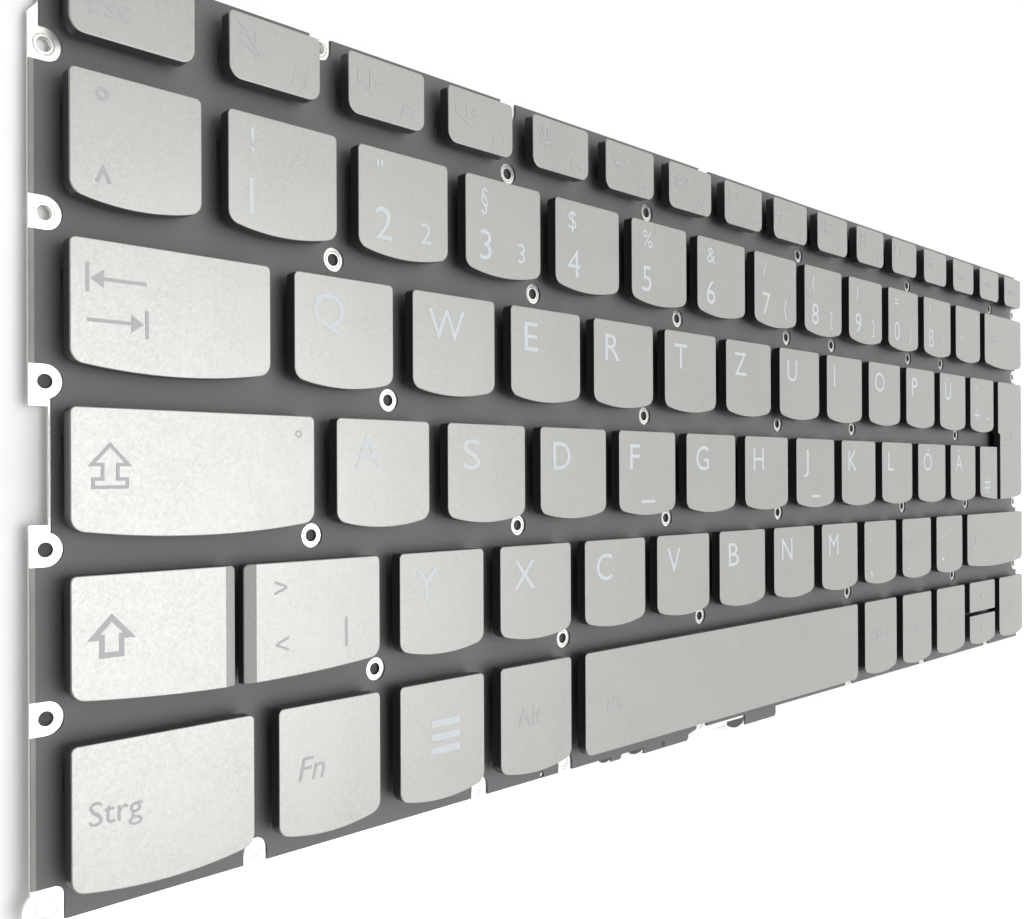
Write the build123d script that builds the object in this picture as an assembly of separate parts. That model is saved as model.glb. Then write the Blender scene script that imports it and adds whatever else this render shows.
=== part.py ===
from build123d import *
import os

# Laptop keyboard module with scissor keys, in millimetres.
# +X runs along the rows, +Y towards the function row, +Z up out of the keytops.
# The layout is worked out from the left end of the keys and the rear edge of the number row,
# and the finished pieces are moved so that the origin is the middle of the plate's underside.

# Key grid
key_pitch = 19.0
row_pitch = 18.4
key_gap = 3.4
split_gap = 1.1
backspace_length = 26.15
letter_depth = 14.6
front_depth = 16.9
first_number = 18.75
first_upper_letter = 27.85
first_home_letter = 34.15
first_lower_letter = 44.4
left_shift_length = 19.75
enter_step = 1.4

# Function row
delete_length = 12.05
function_gap = 4.4
function_depth = 8.2
function_row_gap = 3.8
first_function = 18.95

# Keycaps
cap_height = 1.85
cap_wall = 1.0
cap_top = 0.8
front_corner = 1.7
smile_depth = 1.1
split_bevel_width = 1.5
split_bevel_depth = 0.65
rest_gap = 1.45
arrow_gap = 1.0

# Plate and switch film
plate_thickness = 0.5
film_thickness = 0.25
metal_border = 0.25
film_left = 2.8
film_right = 4.2
film_rear = 2.0
film_front = 2.55
edge_notch_depth = 2.05
edge_notch_end = 2.7

# Screw holes at the sides, and bare patches that the film leaves open to the edge
hole_radius = 0.75
patch_radius = 1.9
left_hole_offset = 1.35
right_hole_offset = 3.0
row_hole_rise = 2.8
front_tab_offset = 1.1
corner_tab_radius = 2.5

# Switch parts under each cap
dome_radius = 2.6
small_dome_radius = 1.7
dome_sides = 6
dome_taper = 18
bar_thickness = 0.6
bar_gap = 0.5
bar_depth = 2.2
longest_plain_key = 23.0

field_length = first_number + 12 * key_pitch + backspace_length
function_pitch = (field_length - delete_length - first_function) / 14
film_top = plate_thickness + film_thickness
rim_height = film_top + rest_gap
key_top = rim_height + cap_height
ceiling = key_top - cap_top
function_rear = function_row_gap + function_depth
front_edge = -4 * row_pitch - front_depth


def row_rear(row):
    return -row * row_pitch


# Keys that travel by themselves: name to (left, right, rear edge, depth)
def letter_span(row, first, index):
    left = first + index * key_pitch
    return left, left + key_pitch - key_gap, row_rear(row), letter_depth


def front_span(left, right):
    return left, right, row_rear(4), front_depth


def jointed_spans():
    spans = {}
    rows = [
        (1, first_upper_letter, "q w e r t z u i o p ue plus"),
        (2, first_home_letter, "a s d f g h j k l oe ae"),
        (3, first_lower_letter, "y x c v b n m comma period minus"),
    ]
    for row, first, names in rows:
        for index, name in enumerate(names.split()):
            spans[name] = letter_span(row, first, index)
    spans["escape"] = function_spans()[0]
    spans["delete"] = function_spans()[-1]
    spans["backspace"] = number_spans()[-1]
    spans["tab"] = (0, first_upper_letter - key_gap, row_rear(1), letter_depth)
    spans["caps"] = (0, first_home_letter - key_gap, row_rear(2), letter_depth)
    right_shift_left = first_lower_letter + 10 * key_pitch
    spans["right_shift"] = (right_shift_left, field_length, row_rear(3), letter_depth)
    spans["left_ctrl"] = front_span(0, first_lower_letter - key_pitch - key_gap)
    for index, name in enumerate(["fn", "super", "alt"]):
        left = first_lower_letter + (index - 1) * key_pitch
        spans[name] = front_span(left, left + key_pitch - key_gap)
    space_left = first_lower_letter + 2 * key_pitch
    spans["space"] = front_span(space_left, space_left + 5 * key_pitch - key_gap)
    for index, name in enumerate(["alt_gr", "right_ctrl"]):
        left = first_lower_letter + (index + 7) * key_pitch
        spans[name] = front_span(left, left + key_pitch - key_gap)
    arrow_left = first_lower_letter + 9 * key_pitch
    arrow_length = (field_length - arrow_left - 2 * key_gap) / 3
    for index, name in enumerate(["arrow_left", "arrow_pair", "arrow_right"]):
        left = arrow_left + index * (arrow_length + key_gap)
        spans[name] = front_span(left, left + arrow_length)
    return spans


def function_spans():
    lefts = [0] + [first_function + index * function_pitch for index in range(15)]
    rights = [left - function_gap for left in lefts[1:]] + [field_length]
    return [(left, right, function_rear, function_depth) for left, right in zip(lefts, rights)]


def number_spans():
    caret = (0, first_number - key_gap, row_rear(0), letter_depth)
    digits = [letter_span(0, first_number, index) for index in range(12)]
    backspace = (first_number + 12 * key_pitch, field_length, row_rear(0), letter_depth)
    return [caret] + digits + [backspace]


# Keytop outline: straight rear edge and sides, bowed front edge and rounded front corners
def key_outline(left, right, rear, depth, smile=smile_depth):
    front = rear - depth
    sides_end = front + smile
    corners = [(left, sides_end), (left, rear), (right, rear), (right, sides_end)]
    if smile:
        bow = ThreePointArc(corners[3], ((left + right) / 2, front), corners[0])
    else:
        bow = Line(corners[3], corners[0])
    face = make_face(Polyline(*corners) + bow)
    return fillet(face.vertices().group_by(Axis.Y)[0], front_corner)


def block(left, right, front, rear, bottom, top):
    middle = ((left + right) / 2, (front + rear) / 2, bottom)
    size = (right - left, rear - front, top - bottom)
    return Pos(*middle) * Box(*size, align=(Align.CENTER, Align.CENTER, Align.MIN))


# The hollow under a cap, kept inside the bowed front edge
def cap_pocket(left, right, rear, depth, smile=smile_depth):
    front = rear - depth + smile + cap_wall
    return block(left + cap_wall, right - cap_wall, front, rear - cap_wall, rim_height, ceiling)


def cap_body(outline):
    return Pos(0, 0, rim_height) * extrude(outline, cap_height)


def keycap(left, right, rear, depth, smile=smile_depth):
    outline = key_outline(left, right, rear, depth, smile)
    return cap_body(outline) - cap_pocket(left, right, rear, depth, smile)


# Bevel on the inner edge of a split key: side is +1 for its right end, -1 for its left end
def split_bevel(cap, side):
    top = cap.faces().sort_by(Axis.Z)[-1]
    edge = top.edges().filter_by(Axis.Y).sort_by(Axis.X)[-1 if side > 0 else 0]
    return chamfer(edge, split_bevel_width, split_bevel_depth, reference=top)


def strip(left, right, front, rear):
    return Pos((left + right) / 2, (front + rear) / 2) * Rectangle(right - left, rear - front)


# Two keys that share one bowed front edge, such as left shift and its neighbour
def left_shift_pair():
    left, right, rear, depth = 0, first_lower_letter - key_gap, row_rear(3), letter_depth
    inner = left_shift_length + split_gap
    outline = key_outline(left, right, rear, depth)
    shift = cap_body(outline & strip(left, left_shift_length, rear - depth, rear))
    angle = cap_body(outline & strip(inner, right, rear - depth, rear))
    shift_span = (left, left_shift_length, rear, depth)
    angle_span = (inner, right, rear, depth)
    return {
        "left_shift": (split_bevel(shift, 1) - cap_pocket(*shift_span), shift_span),
        "angle": (split_bevel(angle, -1) - cap_pocket(*angle_span), angle_span),
    }


# The tall enter key stands behind the hash key and beside it
def enter_pair():
    hash_left = first_home_letter + 11 * key_pitch
    upper_left = first_upper_letter + 12 * key_pitch
    lower_left = upper_left + enter_step
    hash_right = lower_left - split_gap
    rear, depth = row_rear(2), letter_depth
    front = rear - depth
    upper_front = row_rear(1) - letter_depth
    outline = key_outline(hash_left, field_length, rear, depth)
    lower = outline & strip(lower_left, field_length, front, rear)
    stem = strip(lower_left, field_length, rear - cap_wall, row_rear(1))
    head = strip(upper_left, field_length, upper_front, row_rear(1))
    hash_cap = cap_body(outline & strip(hash_left, hash_right, front, rear))
    hash_span = (hash_left, hash_right, rear, depth)
    enter_span = (lower_left, field_length, row_rear(1), row_pitch + depth)
    return {
        "hash": (split_bevel(hash_cap, 1) - cap_pocket(*hash_span), hash_span),
        "enter": (cap_body(lower + stem + head) - cap_pocket(*enter_span), enter_span),
    }


# The up and down arrows halve one full key
def arrow_pair(left, right, rear, depth):
    half = (depth - arrow_gap) / 2
    outline = key_outline(left, right, rear, depth)
    up = cap_body(outline & strip(left, right, rear - half, rear))
    down = cap_body(outline & strip(left, right, rear - depth, rear - depth + half))
    up_span = (left, right, rear, half)
    down_span = (left, right, rear - half - arrow_gap, half)
    return {
        "arrow_up": (up - cap_pocket(*up_span, 0), up_span),
        "arrow_down": (down - cap_pocket(*down_span), down_span),
    }


def jointed_keys():
    keys = {}
    for name, span in jointed_spans().items():
        if name == "arrow_pair":
            keys.update(arrow_pair(*span))
        else:
            keys[name] = (keycap(*span, key_smile(name)), span)
    keys.update(left_shift_pair())
    keys.update(enter_pair())
    return keys


# Function keys and the space bar have a straight front edge
def key_smile(name):
    return 0 if name in ("escape", "delete", "space", "arrow_up") else smile_depth


# Rubber dome: a blunt cone with six flats, from the film to the cap's ceiling
def dome(left, right, rear, depth, smile=smile_depth):
    radius = small_dome_radius if depth < letter_depth else dome_radius
    middle = ((left + right) / 2, rear - (depth - smile) / 2, film_top)
    return Pos(*middle) * extrude(RegularPolygon(radius, dome_sides), ceiling - film_top, taper=dome_taper)


# A key with no travel of its own is one piece with its dome
def fixed_key(span, smile):
    return keycap(*span, smile) + dome(*span, smile)


# Stabiliser: a flat wire bow that lies on the film along the rear or right wall of a long key
def stabiliser_bar(left, right, rear, depth):
    upright = depth > right - left
    length = (depth - smile_depth if upright else right - left) - 2 * (cap_wall + bar_gap)
    hollow = Rectangle(length - 2 * bar_thickness, bar_depth)
    bow = extrude(Rectangle(length, bar_depth) - Pos(0, -bar_thickness) * hollow, bar_thickness)
    inset = cap_wall + bar_gap + bar_depth / 2
    if upright:
        return Pos(right - inset, rear - (depth - smile_depth) / 2, film_top) * Rot(0, 0, -90) * bow
    return Pos((left + right) / 2, rear - inset, film_top) * bow


# Screw holes as (x, y, direction of the edge that they stand near)
def screw_holes():
    left_x, right_x = -left_hole_offset, field_length + right_hole_offset
    side_y = [row_rear(row) + row_hole_rise for row in range(5)]
    holes = [(left_x, y, (-1, 0)) for y in side_y]
    holes += [(right_x, y, (1, 0)) for y in side_y if y != side_y[2]]
    return holes + [(left_x, front_edge - front_tab_offset, (-1, 0))]


# Bare tabs along the front edge, one in line with each of these gaps between keys
def front_tabs():
    spans = jointed_spans()
    gaps = [("left_ctrl", "fn"), ("super", "alt"), ("alt", "space"), ("space", "alt_gr")]
    gaps += [("right_ctrl", "arrow_left"), ("arrow_pair", "arrow_right")]
    gap_x = [(spans[a][1] + spans[b][0]) / 2 for a, b in gaps]
    return [(x, front_edge - front_tab_offset, (0, -1)) for x in gap_x]


film_box = (-film_left, field_length + film_right, front_edge - film_front, function_rear + film_rear)
plate_box = (
    film_box[0] - metal_border,
    film_box[1] + metal_border,
    film_box[2] - metal_border,
    film_box[3] + metal_border,
)


# The recess in the left edge, between two of its screw holes
def edge_notch(inner):
    rear = row_rear(2) + row_hole_rise - edge_notch_end
    front = row_rear(3) + row_hole_rise + edge_notch_end
    return strip(plate_box[0] - edge_notch_depth, inner, front, rear)


# The front left screw tab, which bulges past the plate's left edge
def corner_tab():
    x, y, _ = screw_holes()[-1]
    return Pos(x, y) * Circle(corner_tab_radius) & strip(x - corner_tab_radius, x, *plate_box[2:])


def base_plate():
    notch = edge_notch(plate_box[0] + edge_notch_depth)
    sheet = strip(*plate_box) - notch + corner_tab()
    sheet -= [Pos(x, y) * Circle(hole_radius) for x, y, _ in screw_holes()]
    return extrude(sheet, plate_thickness)


# A patch of bare plate, as wide as a screw head and open to the film's edge
def film_patch(x, y, direction):
    reach = direction[0] * (film_left + film_right) + direction[1] * 2 * film_front
    if direction[0]:
        ends = sorted([x - direction[0] * patch_radius, x + reach])
        return strip(*ends, y - patch_radius, y + patch_radius)
    return strip(x - patch_radius, x + patch_radius, y + reach, y + patch_radius)


def switch_film():
    sheet = strip(*film_box) - edge_notch(plate_box[0] + edge_notch_depth + metal_border)
    sheet -= [film_patch(*place) for place in screw_holes() + front_tabs()]
    return Pos(0, 0, plate_thickness) * extrude(sheet, film_thickness)


def group(pieces):
    return Compound([piece.solid() for piece in pieces])


keys = jointed_keys()
long_spans = [span for _, span in keys.values() if max(span[1] - span[0], span[3]) > longest_plain_key]
nodes = {"base_plate": base_plate(), "switch_film": switch_film()}
nodes["rubber_domes"] = group(dome(*span, key_smile(name)) for name, (_, span) in keys.items())
nodes["stabiliser_bars"] = group(stabiliser_bar(*span) for span in long_spans)
nodes["function_row_keys"] = group(fixed_key(span, 0) for span in function_spans()[1:-1])
nodes["number_row_keys"] = group(fixed_key(span, smile_depth) for span in number_spans()[:-1])
for name, (cap, _) in keys.items():
    nodes["key_" + name] = cap

left_end = -left_hole_offset - corner_tab_radius
to_frame = Pos(-(left_end + plate_box[1]) / 2, -(plate_box[2] + plate_box[3]) / 2, 0)
os.makedirs("parts", exist_ok=True)
for name, shape in nodes.items():
    export_step(to_frame * shape, f"parts/{name}.step")
print(len(nodes), "nodes")
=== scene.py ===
import itertools
import math

import bmesh
import bpy
from mathutils import Matrix, Vector


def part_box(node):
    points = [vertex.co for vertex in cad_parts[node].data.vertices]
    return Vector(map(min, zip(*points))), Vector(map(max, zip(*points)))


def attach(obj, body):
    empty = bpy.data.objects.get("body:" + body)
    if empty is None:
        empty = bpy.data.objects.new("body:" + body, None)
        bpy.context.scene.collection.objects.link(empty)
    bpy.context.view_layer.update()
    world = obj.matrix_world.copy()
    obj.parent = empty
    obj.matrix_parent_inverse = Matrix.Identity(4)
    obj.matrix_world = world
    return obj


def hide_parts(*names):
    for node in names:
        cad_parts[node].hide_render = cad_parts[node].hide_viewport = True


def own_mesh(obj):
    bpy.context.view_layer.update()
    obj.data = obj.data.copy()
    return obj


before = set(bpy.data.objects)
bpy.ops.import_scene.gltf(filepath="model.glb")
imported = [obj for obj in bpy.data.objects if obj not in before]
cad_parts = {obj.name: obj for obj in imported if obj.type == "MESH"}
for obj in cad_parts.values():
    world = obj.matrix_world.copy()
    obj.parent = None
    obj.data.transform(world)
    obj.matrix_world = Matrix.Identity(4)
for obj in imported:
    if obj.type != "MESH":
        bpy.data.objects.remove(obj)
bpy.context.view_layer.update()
mm = 0.001
weld = {"solidMm": 0.001, "sheetMm": 0.002}  # points nearer than this become one
print("frame loaded:", len(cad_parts), "nodes")


# Small tools
def srgb(code):  # "#rrggbb" to linear colour
    parts = [int(code[i:i + 2], 16) / 255 for i in (1, 3, 5)]
    return [c / 12.92 if c <= 0.04045 else ((c + 0.055) / 1.055) ** 2.4 for c in parts] + [1.0]


def addNode(tree, kind, inputs={}, **settings):  # a socket among the inputs is linked, a value is set
    node = tree.nodes.new(kind)
    for name, value in settings.items():
        setattr(node, name, value)
    for name, value in inputs.items():
        if isinstance(value, bpy.types.NodeSocket):
            tree.links.new(value, node.inputs[name])
        else:
            node.inputs[name].default_value = value
    return node


def newMaterial(name):
    material = bpy.data.materials.new(name)
    material.use_nodes = True
    material.node_tree.nodes.clear()
    return material, material.node_tree


def addPiece(name, bm, body, materials, replaced=(), smoothAngle=22):
    mesh = meshFrom(bm, name, smoothAngle)
    piece = bpy.data.objects.new(name, mesh)
    bpy.context.scene.collection.objects.link(piece)
    for material in materials:
        mesh.materials.append(material)
    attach(piece, body)
    for node in replaced:
        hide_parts(node)
    return piece


def meshFrom(bm, name, smoothAngle):  # smooth faces, with sharp edges where they meet at more than the angle
    bmesh.ops.recalc_face_normals(bm, faces=bm.faces)
    for face in bm.faces:
        face.smooth = True
    for edge in bm.edges:
        if not edge.is_manifold or edge.calc_face_angle() > math.radians(smoothAngle):
            edge.smooth = False
    mesh = bpy.data.meshes.new(name)
    bm.to_mesh(mesh)
    bm.free()
    return mesh


def disc(x, y, radius, steps=28):
    turns = [2 * math.pi * i / steps for i in range(steps)]
    return [Vector((x + radius * math.cos(turn), y + radius * math.sin(turn))) for turn in turns]


def bridge(bm, lower, upper):  # faces between two loops of equal length
    ends = zip(lower, lower[1:] + lower[:1], upper[1:] + upper[:1], upper)
    return [bm.faces.new(corners) for corners in ends]


def curveMesh(curve):  # the curve itself goes
    holder = bpy.data.objects.new(curve.name, curve)
    mesh = bpy.data.meshes.new_from_object(holder)
    bpy.data.objects.remove(holder)
    bpy.data.curves.remove(curve)
    return mesh


def addMesh(bm, mesh, place):  # takes a mesh into bm at its place
    mesh.transform(Matrix.Translation(place))
    bm.from_mesh(mesh)
    bpy.data.meshes.remove(mesh)


# Materials
def coat(tree, share, form, height=None, **more):  # two tones mixed by a pattern, with a relief or none
    first, second = (srgb(tone) for tone in form["tones"])
    tint = addNode(tree, "ShaderNodeMix", {"Factor": share, "A": first, "B": second}, data_type="RGBA")
    inputs = {"Base Color": tint.outputs["Result"], **form["surface"], **more}
    if height is not None:
        strength, depthMm = form["relief"]
        bump = addNode(tree, "ShaderNodeBump", {"Height": height, "Strength": strength,
                                                "Distance": depthMm * mm})
        inputs["Normal"] = bump.outputs["Normal"]
    shader = addNode(tree, "ShaderNodeBsdfPrincipled", inputs)
    addNode(tree, "ShaderNodeOutputMaterial", {"Surface": shader.outputs[0]})


def patchFinish(name, form):  # a finish whose two tones lie in soft patches
    material, tree = newMaterial(name)
    place = addNode(tree, "ShaderNodeTexCoord").outputs["Object"]
    patch = addNode(tree, "ShaderNodeTexNoise", {"Vector": place, "Scale": 1 / (form["patchMm"] * mm)})
    coat(tree, patch.outputs["Fac"], form, patch.outputs["Fac"] if "relief" in form else None)
    return material


flake = {"tones": ("#a7a7a4", "#999996"), "cellMm": 0.22, "cloudMm": 7.0, "peelMm": 0.7, "rough": (0.3, 0.38),
         "relief": (0.03, 0.01), "surface": {"Metallic": 0.7}}


def flakedSilverPaint():  # sprayed aluminium-flake paint: soft bright sheen with a fine speckle
    material, tree = newMaterial("flakedSilverPaint")
    place = addNode(tree, "ShaderNodeTexCoord").outputs["Object"]
    cells = addNode(tree, "ShaderNodeTexVoronoi", {"Vector": place, "Scale": 1 / (flake["cellMm"] * mm)})
    cloud = addNode(tree, "ShaderNodeTexNoise", {"Vector": place, "Scale": 1 / (flake["cloudMm"] * mm)})
    peel = addNode(tree, "ShaderNodeTexNoise", {"Vector": place, "Scale": 1 / (flake["peelMm"] * mm)})
    speck = addNode(tree, "ShaderNodeSeparateColor", {"Color": cells.outputs["Color"]})
    blend = addNode(tree, "ShaderNodeMath", {0: speck.outputs["Red"], 1: cloud.outputs["Fac"]},
                    operation="MULTIPLY")
    low, high = flake["rough"]
    rough = addNode(tree, "ShaderNodeMapRange", {"Value": speck.outputs["Green"], "To Min": low,
                                                 "To Max": high})
    coat(tree, blend.outputs[0], flake, peel.outputs["Fac"], Roughness=rough.outputs["Result"])
    return material


pet = {"tones": ("#686665", "#5f5d5c"), "cloudMm": 14.0, "grainMm": 0.3, "relief": (0.15, 0.01),
       "surface": {"Roughness": 0.55, "IOR": 1.57}}


def printedPetFilm():  # polyester sheet with matt warm-grey ink: even, with a faint grain
    material, tree = newMaterial("printedPetFilm")
    place = addNode(tree, "ShaderNodeTexCoord").outputs["Object"]
    cloud = addNode(tree, "ShaderNodeTexNoise", {"Vector": place, "Scale": 1 / (pet["cloudMm"] * mm)})
    fine = addNode(tree, "ShaderNodeTexNoise", {"Vector": place, "Scale": 1 / (pet["grainMm"] * mm)})
    blend = addNode(tree, "ShaderNodeMath", {0: cloud.outputs["Fac"], 1: fine.outputs["Fac"]},
                    operation="MULTIPLY")
    coat(tree, blend.outputs[0], pet, fine.outputs["Fac"])
    return material


sheet = {"tones": ("#f4f3f0", "#dddcd8"), "streakMm": 0.3, "streakRatio": 0.03, "relief": (0.1, 0.01),
         "surface": {"Metallic": 1.0, "Roughness": 0.32}}


def rolledAluminium():  # mill-finish sheet: near-white satin with faint rolling lines along the rows
    material, tree = newMaterial("rolledAluminium")
    place = addNode(tree, "ShaderNodeTexCoord").outputs["Object"]
    along = addNode(tree, "ShaderNodeMapping", {"Vector": place, "Scale": (sheet["streakRatio"], 1, 1)})
    scale = 1 / (sheet["streakMm"] * mm)
    streak = addNode(tree, "ShaderNodeTexNoise", {"Vector": along.outputs[0], "Scale": scale}).outputs["Fac"]
    coat(tree, streak, sheet, streak)
    return material


silverPaint = flakedSilverPaint()
petFilm = printedPetFilm()
bareAluminium = rolledAluminium()

grain = {"tones": ("#2c2d32", "#38393e"), "patchMm": 0.25, "relief": (0.2, 0.02),
         "surface": {"Roughness": 0.3, "IOR": 1.54}}
blackAbs = patchFinish("mouldedBlackAbs", grain)  # spark-eroded mould: dark soft shine broken by a fine grain

milk = {"tones": ("#cdd4d7", "#c5ccd0"), "patchMm": 1.2, "surface": {"Roughness": 0.5, "IOR": 1.58}}
legendMilk = patchFinish("milkyPolycarbonate", milk)  # light guide under lasered paint: cool and cloudy

shadedMilk = {"tones": ("#b6b8b9", "#abadae"), "patchMm": 0.3, "surface": {"Roughness": 0.6}}
shadedLegend = patchFinish("milkyPolycarbonatePaintedShade", shadedMilk)  # the legend plastic again in a darker matt grey, a little uneven: painted shade for the modifier and function key legends

margin = {"tones": ("#a3a19e", "#8b8986"), "patchMm": 2.5, "surface": {"Roughness": 0.6, "IOR": 1.57}}
edgeShadeStrip = patchFinish("paintedEdgeShade", margin)  # dull grey strip over the metal's left border: painted shade that darkens the bare edge

holeShade = {"tones": ("#48484a", "#3b3b3d"), "patchMm": 0.4, "surface": {"Roughness": 0.6}}
holeShadeDisc = patchFinish("paintedHoleShade", holeShade)  # matt and dark, seen only through the holes: painted shade, dark discs set low in the holes where only shade would show

silicone = {"tones": ("#d8d4cb", "#c4bfb4"), "patchMm": 1.5, "surface": {"Roughness": 0.55, "IOR": 1.41}}
domeSilicone = patchFinish("mouldedSilicone", silicone)  # soft rubber: pale, waxy, slightly cloudy

acetal = {"tones": ("#222326", "#303134"), "patchMm": 0.5, "surface": {"Roughness": 0.33, "IOR": 1.48}}
linkAcetal = patchFinish("mouldedAcetal", acetal)  # slippery dark resin: smooth with a low sheen

wire = {"tones": ("#bdbbb6", "#9c9a95"), "patchMm": 0.2, "surface": {"Metallic": 1.0, "Roughness": 0.3}}
springSteel = patchFinish("drawnSpringSteel", wire)  # cold-drawn wire: bright and finely mottled
print("materials ready")


# Where the keys are, read from the frame
def islands(node):  # boxes of a node's separate solids, from left to right
    bm = bmesh.new()
    bm.from_mesh(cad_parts[node].data)
    bmesh.ops.remove_doubles(bm, verts=bm.verts, dist=weld["solidMm"] * mm)
    left = set(bm.verts)
    boxes = []
    while left:
        queue = [left.pop()]
        found = []
        while queue:
            vert = queue.pop()
            found.append(vert.co.copy())
            for edge in vert.link_edges:
                other = edge.other_vert(vert)
                if other in left:
                    left.remove(other)
                    queue.append(other)
        low = Vector([min(p[i] for p in found) for i in range(3)])
        high = Vector([max(p[i] for p in found) for i in range(3)])
        boxes.append((low, high))
    bm.free()
    return sorted(boxes, key=lambda box: box[0].x)


keys = {name[4:]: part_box(name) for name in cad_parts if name.startswith("key_")}
functionBoxes = islands("function_row_keys")
numberBoxes = islands("number_row_keys")
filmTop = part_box("switch_film")[1].z
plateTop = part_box("base_plate")[1].z
keyTop = keys["a"][1].z
rimHeight = keys["a"][0].z
origin = Vector((keys["caps"][0].x, numberBoxes[0][1].y))  # left end of keys, rear of the number row
rowRear = [numberBoxes[0][1].y] + [keys[name][1].y for name in ("q", "a", "y", "alt")]
print("keys found:", len(keys), "moving,", len(functionBoxes) + len(numberBoxes), "fixed")


# Keycaps
capForm = {"wallMm": 1.0, "topMm": 0.8, "edgeMm": 0.12, "rearCornerMm": 0.7, "frontCornerMm": 1.7,
           "smallCornerMm": 0.3, "leastCornerMm": 0.05, "bowMm": 1.1, "probeMm": 2, "splitWidthMm": 1.5,
           "splitDropMm": 0.56, "slackMm": 0.01, "cutM": 1e-7, "cornerSteps": 8, "bowSteps": 14,
           "edgeSteps": 5, "bareRings": 4}
bowDepth = capForm["bowMm"] * mm
straightFront = ("escape", "delete", "space")


def roundCorner(before, corner, after, radius, steps):
    back, ahead = (before - corner).normalized(), (after - corner).normalized()
    half = back.angle(ahead) / 2
    centre = corner + (back + ahead).normalized() * radius / math.sin(half)
    start = corner + back * radius / math.tan(half) - centre
    turn = math.pi - 2 * half
    if back.x * ahead.y - back.y * ahead.x > 0:
        turn = -turn
    return [centre + Matrix.Rotation(turn * i / steps, 2) @ start for i in range(steps + 1)]


def frontBow(left, right, front, depth):  # circle whose lowest point is the middle of the front edge
    radius = ((right - left) ** 2 / 4 + depth ** 2) / (2 * depth)
    return {"x": (left + right) / 2, "y": front + radius, "radius": radius}


def bowHeight(bow, x, inset):
    return bow["y"] - math.sqrt((bow["radius"] - inset) ** 2 - (x - bow["x"]) ** 2)


def plainCap(low, high, bow=None, rearCorner=None, frontLeft=None, frontRight=None):
    rear = capForm["rearCornerMm"] * mm if rearCorner is None else rearCorner
    front = [capForm["frontCornerMm"] * mm if r is None else r for r in (frontRight, frontLeft)]
    corners = [  # x, y, radius and the way that each corner moves when the outline shrinks
        (high.x, low.y, front[0], -1, 1),
        (high.x, high.y, rear, -1, -1),
        (low.x, high.y, rear, 1, -1),
        (low.x, low.y, front[1], 1, 1),
    ]
    return {"corners": corners, "bow": bow}


def capOutline(cap, inset):
    bow = cap["bow"]
    points = [Vector((x + sx * inset, y + sy * inset)) for x, y, _, sx, sy in cap["corners"]]
    if bow:
        for i in (0, -1):
            points[i].y = bowHeight(bow, points[i].x, inset)
    outline = []
    probe, least = capForm["probeMm"] * mm, capForm["leastCornerMm"] * mm
    for i, (_, _, radius, _, _) in enumerate(cap["corners"]):
        before, after = points[i - 1], points[(i + 1) % len(points)]
        if bow and i == 0:
            before = Vector((points[0].x - probe, bowHeight(bow, points[0].x - probe, inset)))
        if bow and i == len(points) - 1:
            after = Vector((points[-1].x + probe, bowHeight(bow, points[-1].x + probe, inset)))
        if radius:
            rounding = max(radius - inset, least)
            outline += roundCorner(before, points[i], after, rounding, capForm["cornerSteps"])
        else:
            outline.append(points[i])
    if bow:
        start, end = outline[-1].x, outline[0].x
        for i in range(1, capForm["bowSteps"]):
            x = start + (end - start) * i / capForm["bowSteps"]
            outline.append(Vector((x, bowHeight(bow, x, inset))))
    return outline


def addCap(bm, cap, split=0):  # split is +1 where the right end is bevelled, -1 for the left end
    wall, edge = capForm["wallMm"] * mm, capForm["edgeMm"] * mm
    ceiling = keyTop - capForm["topMm"] * mm
    profile = [(wall, ceiling), (wall, rimHeight), (edge / 2, rimHeight), (0, rimHeight + edge / 2)]
    for i in range(capForm["edgeSteps"] + 1):
        turn = math.pi / 2 * i / capForm["edgeSteps"]
        profile.append((edge * (1 - math.cos(turn)), keyTop - edge * (1 - math.sin(turn))))
    rings = [[bm.verts.new((p.x, p.y, z)) for p in capOutline(cap, inset)] for inset, z in profile]
    faces = [bm.faces.new(rings[0])]
    for level, (lower, upper) in enumerate(zip(rings, rings[1:])):
        for face in bridge(bm, lower, upper):
            face.material_index = 0 if level >= capForm["bareRings"] else 1  # paint from the top edge on
            faces.append(face)
    faces[0].material_index = 1
    faces.append(bm.faces.new(rings[-1]))
    for edge in faces[-1].edges:
        edge.smooth = False
    if split:
        bevelSplit(bm, faces, cap, split)


def bevelSplit(bm, faces, cap, side):  # slopes the top down towards the split
    width, drop = capForm["splitWidthMm"] * mm, capForm["splitDropMm"] * mm
    end = max(c[0] for c in cap["corners"]) if side > 0 else min(c[0] for c in cap["corners"])
    start = end - side * width
    geometry = list({v for f in faces for v in f.verts} | {e for f in faces for e in f.edges} | set(faces))
    cut = bmesh.ops.bisect_plane(bm, geom=geometry, dist=capForm["cutM"], plane_co=(start, 0, 0),
                                 plane_no=(1, 0, 0))
    for part in cut["geom_cut"]:
        if isinstance(part, bmesh.types.BMEdge):
            part.smooth = False
    slack = capForm["slackMm"] * mm
    low, high = min(start, end) - slack, max(start, end) + slack
    for vert in bm.verts:
        if low < vert.co.x < high and vert.co.z > keyTop - capForm["topMm"] * mm / 2:
            vert.co.z -= drop * min(max((vert.co.x - start) / (end - start), 0), 1)


def bowedCap(low, high):
    return plainCap(low, high, frontBow(low.x, high.x, low.y, bowDepth))


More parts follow.
